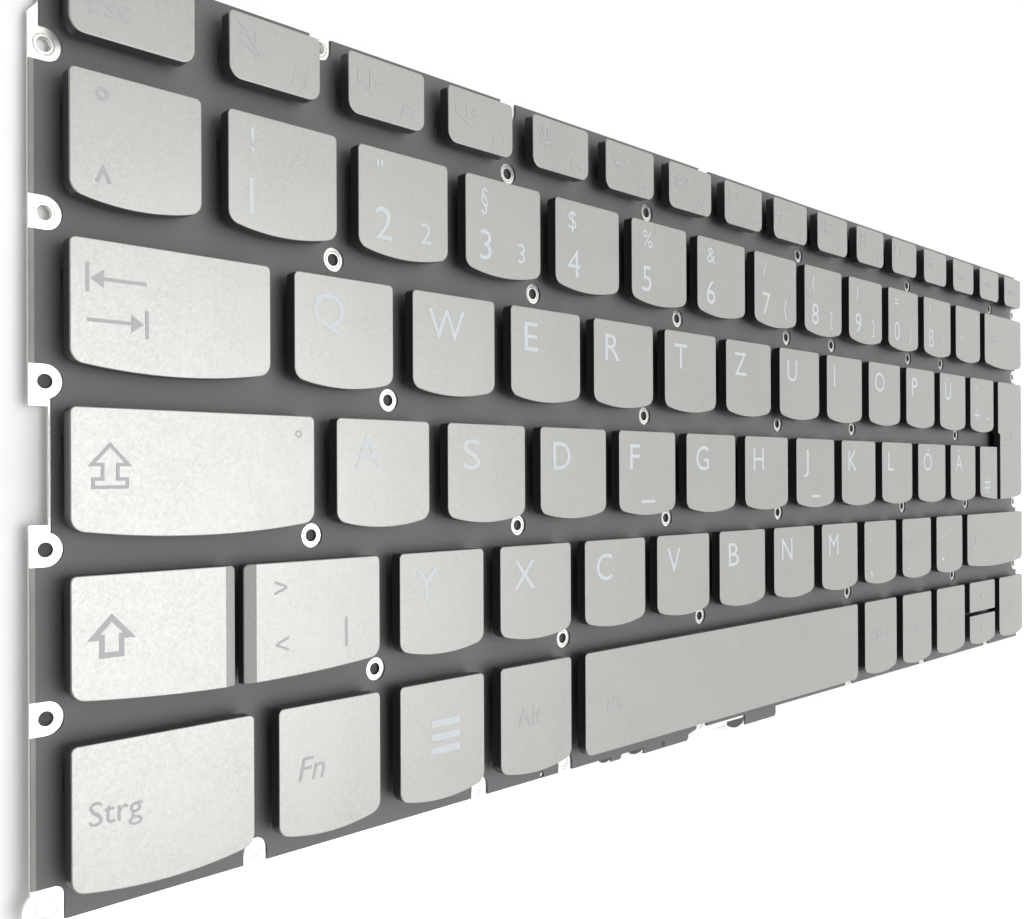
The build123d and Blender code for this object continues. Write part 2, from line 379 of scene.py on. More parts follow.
def movingCaps():  # name to (cap, split side)
    caps = {}
    for name, box in keys.items():
        caps[name] = (plainCap(*box) if name in straightFront else bowedCap(*box), 0)
    small = capForm["smallCornerMm"] * mm
    up, down = keys["arrow_up"], keys["arrow_down"]
    caps["arrow_up"] = (plainCap(*up, frontLeft=small, frontRight=small), 0)
    downBow = frontBow(down[0].x, down[1].x, down[0].y, bowDepth)
    caps["arrow_down"] = (plainCap(*down, downBow, rearCorner=small), 0)
    shift, angle = keys["left_shift"], keys["angle"]
    pairBow = frontBow(shift[0].x, angle[1].x, min(shift[0].y, angle[0].y), bowDepth)
    caps["left_shift"] = (plainCap(*shift, pairBow, frontRight=0.0), 1)
    caps["angle"] = (plainCap(*angle, pairBow, frontLeft=0.0), -1)
    mark, enter = keys["hash"], keys["enter"]
    enterBow = frontBow(mark[0].x, enter[1].x, min(mark[0].y, enter[0].y), bowDepth)
    caps["hash"] = (plainCap(*mark, enterBow, frontRight=0.0), 1)
    caps["enter"] = (tallEnter(enter, mark, enterBow), 0)
    return caps


def tallEnter(enter, mark, bow):  # its lower part starts beside the split, its upper part further left
    low, high = enter
    step = keys["plus"][0].y  # front of the upper part, in line with its row
    lowerLeft = mark[1].x + (keys["angle"][0].x - keys["left_shift"][1].x)
    rear, front = capForm["rearCornerMm"] * mm, capForm["frontCornerMm"] * mm
    corners = [
        (high.x, low.y, front, -1, 1),
        (high.x, high.y, rear, -1, -1),
        (low.x, high.y, rear, 1, -1),
        (low.x, step, rear, 1, 1),
        (lowerLeft, step, 0.0, 1, 1),
        (lowerLeft, low.y, 0.0, 1, 1),
    ]
    return {"corners": corners, "bow": bow}


for name, (cap, split) in movingCaps().items():
    bm = bmesh.new()
    addCap(bm, cap, split)
    addPiece("cap_" + name, bm, "key_" + name, [silverPaint, blackAbs], ["key_" + name])
upperRows = (("function_row", functionBoxes, plainCap), ("number_row", numberBoxes, bowedCap))
for row, boxes, make in upperRows:
    bm = bmesh.new()
    for low, high in boxes:
        addCap(bm, make(low, high))
    addPiece("caps_" + row, bm, "base", [silverPaint, blackAbs], [row + "_keys"])
print("keycaps made")


# Switches under the caps: a rubber dome and two crossed scissor links
switchForm = {"domeMm": 2.6, "smallDomeMm": 1.7, "smallBelowMm": 12, "domeSides": 24, "linkMm": (11.2, 8.6),
              "barMm": 0.8, "thickMm": 0.5, "innerMm": 1.1, "liftMm": 0.3, "marginMm": 3.4, "travelMm": 1.3}
domeProfile = [(1.0, 0.0), (0.98, 0.08), (0.86, 0.16), (0.74, 0.42), (0.66, 0.72), (0.62, 0.9), (0.52, 1.0)]
domeHeight = keyTop - capForm["topMm"] * mm - filmTop


def addDome(bm, x, y, radius):
    rings = []
    for share, rise in domeProfile:
        loop = disc(x, y, radius * share, switchForm["domeSides"])
        rings.append([bm.verts.new((p.x, p.y, filmTop + domeHeight * rise)) for p in loop])
    bm.faces.new(rings[0])
    bm.faces.new(rings[-1])
    for lower, upper in zip(rings, rings[1:]):
        bridge(bm, lower, upper)


def addLink(bm, x, y, width, length, tilt):  # a flat frame that leans from the film to the ceiling
    bar, thick, lift = (switchForm[k] * mm for k in ("barMm", "thickMm", "liftMm"))
    rise = domeHeight - 2 * lift - thick
    verts = []
    for z in (-thick / 2, thick / 2):
        for inset in (0, bar):
            for sx, sy in ((1, 1), (-1, 1), (-1, -1), (1, -1)):
                px, py = sx * (width / 2 - inset), sy * (length / 2 - inset)
                lean = tilt * rise * py / length
                verts.append(bm.verts.new((x + px, y + py, filmTop + domeHeight / 2 + lean + z)))
    for i in range(4):
        j = (i + 1) % 4
        for a, b in ((0, 4), (12, 8), (4, 12), (8, 0)):
            face = bm.faces.new((verts[a + i], verts[a + j], verts[b + j], verts[b + i]))
            face.material_index = 1


def addSwitch(bm, low, high, bow):
    length = high.y - low.y - bow
    x, y = (low.x + high.x) / 2, high.y - length / 2
    fullWidth, fullDepth = switchForm["linkMm"]
    margin = switchForm["marginMm"] * mm
    depth = min(fullDepth * mm, length - margin)
    width = min(fullWidth * mm, high.x - low.x - margin)
    small = length < switchForm["smallBelowMm"] * mm
    addDome(bm, x, y, switchForm["smallDomeMm" if small else "domeMm"] * mm)
    addLink(bm, x, y, width, depth, 1)
    addLink(bm, x, y, width - 2 * switchForm["innerMm"] * mm, depth, -1)


switchLooks = [domeSilicone, linkAcetal]
for name, (low, high) in keys.items():
    bm = bmesh.new()
    addSwitch(bm, low, high, 0 if name in straightFront + ("arrow_up",) else bowDepth)
    piece = addPiece("switch_" + name, bm, "base", switchLooks, ["rubber_domes"],
                     smoothAngle=30)
    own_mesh(piece)
bm = bmesh.new()
for low, high in functionBoxes:
    addSwitch(bm, low, high, 0)
for low, high in numberBoxes:
    addSwitch(bm, low, high, bowDepth)
addPiece("switches_upper_rows", bm, "base", switchLooks, smoothAngle=30)
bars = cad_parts["stabiliser_bars"]
bars.data.materials.clear()
bars.data.materials.append(springSteel)
print("switches made")


# Plate and film: flat sheets cut from outlines, with holes
def filledLoops(loops, thick=0.0):
    curve = bpy.data.curves.new("outline", "CURVE")
    curve.dimensions = "2D"
    curve.fill_mode = "BOTH"
    curve.extrude = thick / 2
    for loop in loops:
        spline = curve.splines.new("POLY")
        spline.points.add(len(loop) - 1)
        for point, place in zip(spline.points, loop):
            point.co = (place.x, place.y, 0, 1)
        spline.use_cyclic_u = True
    return curveMesh(curve)


def sheetMesh(bm, loops, bottom, top):  # loops are (lower, upper) pairs of equal length, the outline first
    for side, z in ((0, bottom), (1, top)):
        addMesh(bm, filledLoops([pair[side] for pair in loops]), (0, 0, z))
    for lower, upper in loops:
        ends = [[bm.verts.new((p.x, p.y, z)) for p in loop] for loop, z in ((lower, bottom), (upper, top))]
        bridge(bm, *ends)
    bmesh.ops.remove_doubles(bm, verts=bm.verts, dist=weld["sheetMm"] * mm)


def addBlock(bm, x0, y0, x1, y1, bottom, top):
    loop = [Vector(p) for p in ((x0, y0), (x1, y0), (x1, y1), (x0, y1))]
    sheetMesh(bm, [(loop, loop)], bottom, top)


def at(x, y):  # a place given in mm from the left end of the keys and the rear of the number row
    return origin + Vector((x, y)) * mm


def gapMiddle(first, second):
    return (first[1].x + second[0].x) / 2


def gapsBetween(*pairs):
    return [gapMiddle(keys[a], keys[b]) for a, b in pairs]


tabForm = {"holeMm": 0.75, "dishMm": 0.84, "ringMm": 1.6, "tabMm": 1.9, "leftMm": 1.35, "rightMm": 3.0,
           "riseMm": 2.8, "ringRiseMm": (2.8, 3.05, 3.0, 2.95, 2.4), "frontMm": 1.1, "rearMm": 0.6,
           "spaceTabMm": 36.3, "lapMm": 0.06, "borderMm": 0.25, "printMm": 0.55, "cornerMm": 2.5,
           "ringHoleMm": 0.84, "frontTabMm": 1.65, "frontShiftMm": 0.25, "lipMm": (1.05, 1.22, 0.05),
           "holeDiscScale": 1.02, "notchSteps": 14, "cornerSteps": 12}
row0 = [keys["escape"]] + functionBoxes + [keys["delete"]]
row1 = numberBoxes + [keys["backspace"]]
ringGaps = [
    [gapMiddle(row0[k], row0[k + 1]) for k in (3, 5, 8, 11, 14)],
    [gapMiddle(row1[k], row1[k + 1]) for k in (1, 3, 5, 7, 8, 10, 11)],
    gapsBetween("qw", "rt", "io", ("ue", "plus"), "hj"),
    gapsBetween(("caps", "a"), "sd", "fg", "hj", ("l", "oe"), ("ae", "hash")),
    gapsBetween(("angle", "y"), "xc", "vb", ("m", "comma"), ("minus", "right_shift")),
]
rings = []
for rear, row, up in zip(rowRear, ringGaps, tabForm["ringRiseMm"]):
    rings += [(x, rear + up * mm) for x in row]
fieldLeft, fieldRight = origin.x, keys["backspace"][1].x
fieldFront, fieldRear = keys["alt"][0].y, keys["escape"][1].y
leftX, rightX = fieldLeft - tabForm["leftMm"] * mm, fieldRight + tabForm["rightMm"] * mm
leftTabs = [rear + tabForm["riseMm"] * mm for rear in rowRear]
rightTabs = [leftTabs[i] for i in (0, 1, 3, 4)]
frontY = fieldFront - tabForm["frontMm"] * mm
rearY = fieldRear + tabForm["rearMm"] * mm
frontTabs = gapsBetween(("left_ctrl", "fn"), ("super", "alt"), ("alt", "space"), ("space", "alt_gr"),
                        ("right_ctrl", "arrow_left"), ("arrow_up", "arrow_right"))
frontTabs.append(keys["space"][0].x + tabForm["spaceTabMm"] * mm)
frontTabs.sort()
rearTabs = [gapMiddle(row0[k], row0[k + 1]) for k in (1, 3, 6)]
sideHoles = [(leftX, y) for y in leftTabs] + [(rightX, y) for y in rightTabs] + [(leftX, frontY)]
edgeHoles = [(x, frontY) for x in frontTabs] + [(x, rearY) for x in rearTabs]


def notch(x, y, towards, edge, size="tabMm"):  # a tab's round-ended opening in the film
    radius, steps = tabForm[size] * mm, tabForm["notchSteps"]
    side = Vector((towards.y, -towards.x))
    base = Vector((x, y))
    reach = edge - base.dot(towards)
    turns = [math.pi * i / steps for i in range(steps + 1)]
    arc = [base + side * radius * math.cos(turn) - towards * radius * math.sin(turn) for turn in turns]
    return [base + side * radius + towards * reach] + arc + [base - side * radius + towards * reach]


filmLow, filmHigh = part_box("switch_film")
plateLow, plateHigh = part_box("base_plate")
plateLeft = filmLow.x - tabForm["borderMm"] * mm  # the corner tab reaches further left than this edge
printLeft = plateLeft + tabForm["printMm"] * mm
recess = {"plateMm": 2.05, "filmMm": 2.3, "endMm": 2.7, "setBackMm": 0.62, "cornerMm": (0.55, 1.3),
          "roundMm": 1.2, "roundSteps": 6, "stepMm": (1.1, 6.0, 7.3)}
frontForm = {"tonguesMm": ((92.4, 95.3, 0.75), (101.4, 114.7, 1.05), (133.6, 144.9, 1.4)), "slopeMm": 0.45,
             "thinFromMm": 118.0, "thinMm": 0.6, "clipSetMm": 0.1, "clipSteps": 12,
             "clipsMm": ((91.0, 1.45, 0.72), (99.4, 1.9, 0.82), (130.6, 2.8, 1.5)),
             "spotsMm": ((107.1, -93.4, 0.5),), "spotHighMm": 0.03, "spotSides": 16,
             "dropMm": (75.5, -92.55, 0.42)}
tongues = [(origin.x + a * mm, origin.x + b * mm, lip * mm) for a, b, lip in frontForm["tonguesMm"]]


def frontEdge(x):  # the film's front edge steps back to the right of the middle tab
    return filmLow.y + (frontForm["thinMm"] * mm if x > origin.x + frontForm["thinFromMm"] * mm else 0)


def gapBefore(start, x):  # true where a tongue stands between this tab and the next
    later = [tab for tab in frontTabs if tab > x]
    return x < start and (not later or start < later[0])


def tongue(start, end, lip, edge):
    low, slope = filmLow.y - lip, frontForm["slopeMm"] * mm
    corners = ((start, edge), (start, low), (end - slope, low), (end, low + slope), (end, edge))
    return [Vector(p) for p in corners]


def filmOutline():
    west, east, north, south = Vector((-1, 0)), Vector((1, 0)), Vector((0, 1)), Vector((0, -1))
    left, right, front, rear = printLeft, filmHigh.x, filmLow.y, filmHigh.y
    points = [Vector((left + recess["setBackMm"] * mm, rear))]
    inner = plateLeft + recess["filmMm"] * mm  # the recess runs into the tabs at both its ends
    reach = math.sqrt((tabForm["tabMm"] * mm) ** 2 - (inner - leftX) ** 2)
    for i, y in enumerate(leftTabs):
        walk = notch(leftX, y, west, -left)
        if i == 0:
            walk = [Vector((left + recess["setBackMm"] * mm, walk[0].y))] + walk[1:]
        if i == 2:
            walk = [p for p in walk if p.y > y or p.x > inner] + [Vector((inner, y - reach))]
        if i == 3:
            walk = [Vector((inner, y + reach))] + [p for p in walk if p.y < y or p.x > inner]
        points += walk
    cutX, cutY = origin.x + recess["cornerMm"][0] * mm, fieldFront + recess["cornerMm"][1] * mm
    before, corner, after = (Vector(p) for p in ((left, cutY), (cutX, cutY), (cutX, front)))
    points.append(before)
    points += roundCorner(before, corner, after, recess["roundMm"] * mm, recess["roundSteps"])
    points.append(after)
    for x in frontTabs:
        points += notch(x + tabForm["frontShiftMm"] * mm, frontY, south, -frontEdge(x), "frontTabMm")
        for start, end, lip in tongues:
            if gapBefore(start, x):
                points += tongue(start, end, lip, frontEdge(start))
    points.append(Vector((right, frontEdge(right))))
    for y in reversed(rightTabs):
        points += notch(rightX, y, east, right)
    points.append(Vector((right, rear)))
    for x in reversed(rearTabs):
        points += notch(x, rearY, north, rear, "frontTabMm")
    return points


def plateOutline():
    left, right, front, rear = plateLeft, plateHigh.x, plateLow.y, plateHigh.y
    inner = left + recess["plateMm"] * mm
    inRear, inFront = leftTabs[2] - recess["endMm"] * mm, leftTabs[3] + recess["endMm"] * mm
    radius, steps = tabForm["cornerMm"] * mm, tabForm["cornerSteps"]
    start = math.acos((left - leftX) / radius)
    end = math.pi + math.asin((frontY - front) / radius)
    turns = [start + (end - start) * i / steps for i in range(steps + 1)]
    step, stepStart, stepEnd = (size * mm for size in recess["stepMm"])  # the left edge's rear end steps in
    points = [(left + step, rear), (left + step, origin.y + stepEnd), (left, origin.y + stepStart),
              (left, inRear), (inner, inRear), (inner, inFront), (left, inFront)]
    points += [(leftX + radius * math.cos(turn), frontY + radius * math.sin(turn)) for turn in turns]
    for start, end, lip in tongues:
        points += tongue(start, end, lip, front)
    return [Vector(p) for p in points + [(right, front), (right, rear)]]


bm = bmesh.new()
outline = filmOutline()
loops = [(outline, outline)] + [(disc(x, y, tabForm["ringMm"] * mm),) * 2 for x, y in rings]
dropX, dropY, dropSize = frontForm["dropMm"]
dropShape = ((0, 2.0), (-0.5, 0.85), (-1, 0), (-0.7, -0.7), (0, -1), (0.7, -0.7), (1, 0), (0.5, 0.85))
drop = [at(dropX, dropY) + Vector(p) * dropSize * mm for p in dropShape]
loops.append((drop, drop))
sheetMesh(bm, loops, plateTop, filmTop)
addPiece("switch_film_sheet", bm, "base", [petFilm], ["switch_film"], smoothAngle=25)

# a thin dull grey strip along the plate's left border: painted shade on the bare metal edge
marginForm = {"setMm": 0.03, "sinkMm": 0.02}
bm = bmesh.new()
cornerCut = fieldFront + recess["cornerMm"][1] * mm
spans = [(leftTabs[i] - tabForm["tabMm"] * mm, leftTabs[i + 1] + tabForm["tabMm"] * mm) for i in (0, 1, 3)]
spans.append((leftTabs[4] - tabForm["tabMm"] * mm, cornerCut))
for rear, front in spans:
    addBlock(bm, plateLeft + marginForm["setMm"] * mm, front, printLeft, rear, plateTop,
             filmTop - marginForm["sinkMm"] * mm)
addPiece("edge_shade_strip", bm, "base", [edgeShadeStrip], smoothAngle=25)


def addLip(bm, x, y, inside, outside, lift):
    third = (outside - inside) / 3
    profile = [(inside, 0), (inside + third, lift), (outside - third, lift), (outside, 0)]
    loops = [[bm.verts.new((p.x, p.y, plateTop + z)) for p in disc(x, y, radius)] for radius, z in profile]
    for inner, outer in zip(loops, loops[1:]):
        bridge(bm, inner, outer)


bm = bmesh.new()
outline = plateOutline()
hole, dish = tabForm["holeMm"] * mm, tabForm["dishMm"] * mm
loops = [(outline, outline)]
loops += [(disc(x, y, hole), disc(x, y, dish)) for x, y in sideHoles + edgeHoles]
ringHole = tabForm["ringHoleMm"] * mm
loops += [(disc(x, y, ringHole), disc(x, y, ringHole)) for x, y in rings]
sheetMesh(bm, loops, 0.0, plateTop)
openHoles = sideHoles[:2] + [(x, rearY) for x in rearTabs]  # nothing behind these, so the table shows
# dark discs low in the other holes are painted shade; at the front tabs the disc is bare metal just under the
# top, so those holes read white
for x, y in rings + edgeHoles + sideHoles:
    if (x, y) in openHoles:
        continue
    radius = (ringHole if (x, y) in rings else hole) * tabForm["holeDiscScale"]
    level = plateTop - tabForm["lapMm"] * mm if y == frontY else tabForm["lapMm"] * mm
    face = bm.faces.new([bm.verts.new((p.x, p.y, level)) for p in disc(x, y, radius)])
    face.material_index = 0 if y == frontY else 1
inside, outside, lift = (size * mm for size in tabForm["lipMm"])
for x, y in sideHoles + edgeHoles + rings:  # pressed lip round each hole
    addLip(bm, x, y, inside, outside, lift)
addPiece("base_plate_sheet", bm, "base", [bareAluminium, holeShadeDisc], ["base_plate"],
         smoothAngle=25)

bm = bmesh.new()
clipSet, clipSteps = frontForm["clipSetMm"] * mm, frontForm["clipSteps"]
clipTurns = [math.pi * i / clipSteps for i in range(clipSteps + 1)]
for x, radius, depth in frontForm["clipsMm"]:
    middle, edge = at(x, 0).x, filmLow.y + clipSet
    loop = [Vector((middle + radius * mm * math.cos(t), edge - depth * mm * math.sin(t))) for t in clipTurns]
    sheetMesh(bm, [(loop, loop)], clipSet, filmTop - clipSet)
for x, y, radius in frontForm["spotsMm"]:
    spot = at(x, y)
    loop = disc(spot.x, spot.y, radius * mm, frontForm["spotSides"])
    sheetMesh(bm, [(loop, loop)], filmTop, filmTop + frontForm["spotHighMm"] * mm)
addPiece("front_clips", bm, "base", [blackAbs], smoothAngle=25)

hookForm = {"wideMm": 0.16, "longMm": 2.2, "shortMm": 0.6, "highMm": 0.1, "rearMm": 3.2, "sideMm": 0.15,
            "stepMm": 0.5, "frontMm": 1.6, "sinkMm": 0.02}
wide, long, short, high, rear, side, step, front, sink = (size * mm for size in hookForm.values())
bm = bmesh.new()
for near, far in list(keys.values()) + functionBoxes + numberBoxes:  # plate hooks just inside each left edge
    x = near.x + side
    for left, top, length in ((x, far.y - rear, long), (x + step, near.y + front + short, short)):
        addBlock(bm, left, top - length, left + wide, top, filmTop - sink, filmTop + high)
addPiece("plate_hooks", bm, "base", [bareAluminium], smoothAngle=25)
print("plate and film made")


# Legends
legendForm = {"thickMm": 0.02, "layMm": 0.002, "lineMm": 0.5, "letterMm": 4.4, "leftMm": 2.8, "topMm": 2.3,
              "digitTopMm": 7.9, "signTopMm": 1.7, "signMm": 2.9, "signShiftMm": 0.2, "thirdLeftMm": 10.6,
              "thirdDropMm": 1, "curveSteps": 3, "ringSides": 20, "mitre": 0.3}


def textMesh(text, size, slant=0.0):
    curve = bpy.data.curves.new("legend", "FONT")
    curve.body, curve.size, curve.shear = text, size, slant
    curve.extrude = legendForm["thickMm"] * mm / 2
    curve.resolution_u = legendForm["curveSteps"]
    return curveMesh(curve)


def extent(mesh, axis):
    values = [v.co[axis] for v in mesh.vertices]
    return min(values), max(values)


unitH = textMesh("H", 1.0)
capShare = extent(unitH, 1)[1] - extent(unitH, 1)[0]  # height of a capital in a font of size 1
bpy.data.meshes.remove(unitH)


layers = itertools.cycle(range(9))


def addShape(bm, loops):  # flat filled shape on a keytop, as thick as the lettering
    lay = legendForm["layMm"] * next(layers)  # strokes that cross lie apart
    thick = (legendForm["thickMm"] + lay) * mm
    addMesh(bm, filledLoops(loops, thick), (0, 0, keyTop + thick / 2))


def addLine(bm, points, width, closed=False):  # mitred line through points
    count = len(points)
    sides = ([], [])
    for i, point in enumerate(points):
        ahead = points[(i + 1) % count] - point if closed or i < count - 1 else point - points[i - 1]
        back = point - points[i - 1] if closed or i > 0 else ahead
        ahead, back = ahead.normalized(), back.normalized()
        across = Vector((-ahead.y - back.y, ahead.x + back.x)).normalized()
        reach = width / 2 / max(across.dot(Vector((-ahead.y, ahead.x))), legendForm["mitre"])
        sides[0].append(point + across * reach)
        sides[1].append(point - across * reach)
    addShape(bm, sides if closed else [sides[0] + sides[1][::-1]])


def placed(box, points):  # mm from a key's left and rear edges to metres
    low, high = box
    return [Vector((low.x + x * mm, high.y - y * mm)) for x, y in points]


def line(bm, box, points, width=None, closed=False):
    addLine(bm, placed(box, points), (width or legendForm["lineMm"]) * mm, closed)


def patch(bm, box, points):
    addShape(bm, [placed(box, points)])


def addRing(bm, box, x, y, radius, inner):
    spot = placed(box, [(x, y)])[0]
    addShape(bm, [disc(spot.x, spot.y, size * mm, legendForm["ringSides"]) for size in (radius, inner)])


def word(bm, box, text, left, top, height, slant=0.0, wide=1.0):  # height is a capital's
    place = placed(box, [(left, top)])[0]
    mesh = textMesh(text, height * mm / capShare, slant)
    mesh.transform(Matrix.Diagonal((wide, 1, 1, 1)))
    lift = keyTop + legendForm["thickMm"] * mm / 2
    addMesh(bm, mesh, (place.x - extent(mesh, 0)[0], place.y - height * mm, lift))


letterWide = {"S": 1.4, "E": 1.15, "F": 1.15, "B": 1.15, "P": 1.15, "R": 1.1, "L": 1.1, "J": 1.3}


def letterLegend(bm, box, text):
    word(bm, box, text, legendForm["leftMm"], legendForm["topMm"], legendForm["letterMm"],
         wide=letterWide.get(text, 1.0))


def pairLegend(bm, box, upper, lower, third=""):
    word(bm, box, lower, legendForm["leftMm"], legendForm["digitTopMm"], legendForm["letterMm"])
    if upper:
        signLeft = legendForm["leftMm"] + legendForm["signShiftMm"]
        word(bm, box, upper, signLeft, legendForm["signTopMm"], legendForm["signMm"])
    if third:
        thirdTop = legendForm["digitTopMm"] + legendForm["thirdDropMm"]
        word(bm, box, third, legendForm["thirdLeftMm"], thirdTop, legendForm["signMm"])


upArrow = [(0, 2.1), (2, 0), (4, 2.1), (3.1, 2.1), (3.1, 4.1), (0.9, 4.1), (0.9, 2.1)]
lockArrow = [(0, 2.2), (2.05, 0), (4.1, 2.2), (2.9, 2.2), (2.9, 3.8), (3.95, 3.8), (3.95, 4.7), (0.15, 4.7),
             (0.15, 3.8), (1.2, 3.8), (1.2, 2.2)]


def shifted(points, dx, dy):
    return [(x + dx, y + dy) for x, y in points]


def tabLegend(bm, box):
    for x, y, way in ((1.9, 4.3, 1), (8.6, 8.9, -1)):
        line(bm, box, [(x, y - 1.6), (x, y + 1.6)], 0.4)
        line(bm, box, [(x + way * 1.6, y), (x + way * 6.7, y)], 0.4)
        patch(bm, box, [(x + way * 0.35, y), (x + way * 1.8, y - 1.0), (x + way * 1.8, y + 1.0)])


def capsLegend(bm, box):
    line(bm, box, shifted(lockArrow, 2.3, 4.1), 0.38, True)
    addRing(bm, box, 28.4, 2.3, 0.48, 0.26)


def shiftLegend(bm, box):
    line(bm, box, shifted(upArrow, 2.45, 4.8), 0.62, True)


def enterLegend(bm, box):
    line(bm, box, [(9.2, 14.2), (9.2, 17.0), (5.4, 17.0)], 0.4)
    patch(bm, box, [(5.6, 15.9), (4.1, 17.0), (5.6, 18.1)])


def backspaceLegend(bm, box):
    line(bm, box, [(5.7, 6.6), (11.2, 6.6)], 0.4)
    patch(bm, box, [(5.9, 5.4), (4.2, 6.6), (5.9, 7.8)])


def barsLegend(bm, box):  # plain sign for the menu of programs
    for y in (6.0, 7.9, 9.8):
        line(bm, box, [(5.4, y), (10.8, y)], 1.0)


def spaceLegend(bm, box):  # small key light sign
    line(bm, box, [(5.4, 9.4), (8.6, 9.4), (8.6, 10.1), (5.4, 10.1)], 0.25, True)
    for x, y, dx, dy in ((7.0, 8.6, 0, -0.9), (5.9, 8.7, -0.5, -0.7), (8.1, 8.7, 0.5, -0.7)):
        line(bm, box, [(x, y), (x + dx, y + dy)], 0.25)


def arrowLegend(bm, box, turn):
    low, high = box
    middle = Vector(((low.x + high.x) / 2, (low.y + high.y) / 2))
    spin = Matrix.Rotation(math.radians(turn), 2)
    addShape(bm, [[middle + spin @ Vector(p) * mm for p in ((-1.2, -0.7), (1.2, -0.7), (0, 0.9))]])


def angleLegend(bm, box):
    word(bm, box, ">", 4.0, 1.9, 2.6)
    word(bm, box, "<", 4.2, 9.0, 2.6)
    line(bm, box, [(14.7, 7.7), (14.7, 11.6)], 0.4)


functionForm = {"fromRightMm": (4.3, 5.4), "topMm": 5.0, "highMm": 2.0, "slant": 0.25}  # one digit or two


def functionLegend(bm, box, number):
    left = (box[1].x - box[0].x) / mm - functionForm["fromRightMm"][number > 9]
    top, height, slant = (functionForm[part] for part in ("topMm", "highMm", "slant"))
    word(bm, box, "F" + str(number), left, top, height, slant)
    sign, *more = functionSigns[number - 1]
    sign(bm, box, *more)


def speaker(bm, box, marks):
    line(bm, box, [(1.6, 2.4), (2.4, 2.4), (3.6, 1.4), (3.6, 4.8), (2.4, 3.8), (1.6, 3.8)], 0.3, True)
    for points in marks:
        line(bm, box, points, 0.3)


def sun(bm, box, plus):
    addRing(bm, box, 2.9, 3.0, 0.75, 0.4)
    for i in range(8):
        turn = math.pi * i / 4
        ends = [(2.9 + r * math.cos(turn), 3.0 + r * math.sin(turn)) for r in (1.05, 1.5)]
        line(bm, box, ends, 0.25)
    line(bm, box, [(4.9, 3.0), (6.1, 3.0)], 0.3)
    if plus:
        line(bm, box, [(5.5, 2.4), (5.5, 3.6)], 0.3)


def screens(bm, box):
    line(bm, box, [(1.6, 1.7), (4.4, 1.7), (4.4, 3.7), (1.6, 3.7)], 0.3, True)
    line(bm, box, [(2.2, 4.5), (3.8, 4.5)], 0.3)


def grid(bm, box):
    for x in (1.8, 3.4):
        for y in (1.6, 3.2):
            line(bm, box, [(x, y), (x + 1.1, y), (x + 1.1, y + 1.1), (x, y + 1.1)], 0.25, True)


def padlock(bm, box):
    line(bm, box, [(1.8, 2.9), (4.0, 2.9), (4.0, 4.7), (1.8, 4.7)], 0.3, True)
    line(bm, box, [(2.2, 2.9), (2.2, 2.0), (2.5, 1.6), (3.3, 1.6), (3.6, 2.0), (3.6, 2.9)], 0.3)


def microphone(bm, box):
    line(bm, box, [(2.4, 1.5), (3.4, 1.5), (3.4, 3.2), (2.4, 3.2)], 0.3, True)
    line(bm, box, [(1.8, 2.6), (1.8, 3.6), (2.9, 4.1), (4.0, 3.6), (4.0, 2.6)], 0.25)
    line(bm, box, [(2.9, 4.1), (2.9, 4.9)], 0.25)
    line(bm, box, [(1.5, 1.3), (4.4, 4.9)], 0.25)


def plane(bm, box):
    line(bm, box, [(2.9, 1.3), (2.9, 4.9)], 0.5)
    line(bm, box, [(1.3, 3.4), (2.9, 2.6), (4.5, 3.4)], 0.45)
    line(bm, box, [(2.1, 4.9), (2.9, 4.5), (3.7, 4.9)], 0.35)


functionSigns = [
    (speaker, [[(1.4, 1.2), (4.6, 5.0)]]),
    (speaker, [[(4.4, 3.1), (5.6, 3.1)]]),
    (speaker, [[(4.4, 3.1), (5.6, 3.1)], [(5.0, 2.5), (5.0, 3.7)]]),
    (microphone,),
    (sun, False),
    (sun, True),
    (screens,),
    (plane,),
    (grid,),
    (padlock,),
    (screens,),
    (grid,),
]

legends = {name: (letterLegend, name.upper()) for name in "qwertzuiopasdfghjklyxcvbnm"}
legends.update(ue=(letterLegend, "Ü"), oe=(letterLegend, "Ö"), ae=(letterLegend, "Ä"))
legends.update(plus=(pairLegend, "*", "+", "~"), hash=(pairLegend, "'", "#"), comma=(pairLegend, ";", ","))
legends.update(period=(pairLegend, ":", "."), minus=(pairLegend, "_", "-"))
legends.update(tab=(tabLegend,), caps=(capsLegend,), left_shift=(shiftLegend,), right_shift=(shiftLegend,))
legends.update(enter=(enterLegend,), backspace=(backspaceLegend,))
legends.update(super=(barsLegend,), space=(spaceLegend,))
legends.update(escape=(word, "Esc", 2.1, 3.0, 2.7), delete=(word, "Entf", 1.6, 3.0, 2.0))
legends.update(left_ctrl=(word, "Strg", 1.9, 6.4, 2.6), right_ctrl=(word, "Strg", 2.6, 6.4, 2.7))
legends.update(fn=(word, "Fn", 2.8, 6.6, 3.0, 0.22), alt=(word, "Alt", 3.5, 6.5, 3.0))
legends.update(alt_gr=(word, "AltGr", 2.6, 6.4, 2.7))
legends.update(arrow_up=(arrowLegend, 0), arrow_left=(arrowLegend, 90), arrow_down=(arrowLegend, 180))
legends.update(arrow_right=(arrowLegend, 270), angle=(angleLegend,))

bumpForm = {"widthMm": 3.8, "topMm": 12.2, "thickMm": 0.5}
for name, (draw, *words) in legends.items():
    bm = bmesh.new()
    draw(bm, keys[name], *words)
    if name in "fj":
        middle = (keys[name][1].x - keys[name][0].x) / mm / 2
        half, top = bumpForm["widthMm"] / 2, bumpForm["topMm"]
        line(bm, keys[name], [(middle - half, top), (middle + half, top)], bumpForm["thickMm"])
    # legends on the modifier and function keys take the darker copy of the legend plastic: painted shade
    look = legendMilk if draw in (letterLegend, pairLegend, barsLegend) else shadedLegend
    addPiece("legend_" + name, bm, "key_" + name, [look], smoothAngle=30)

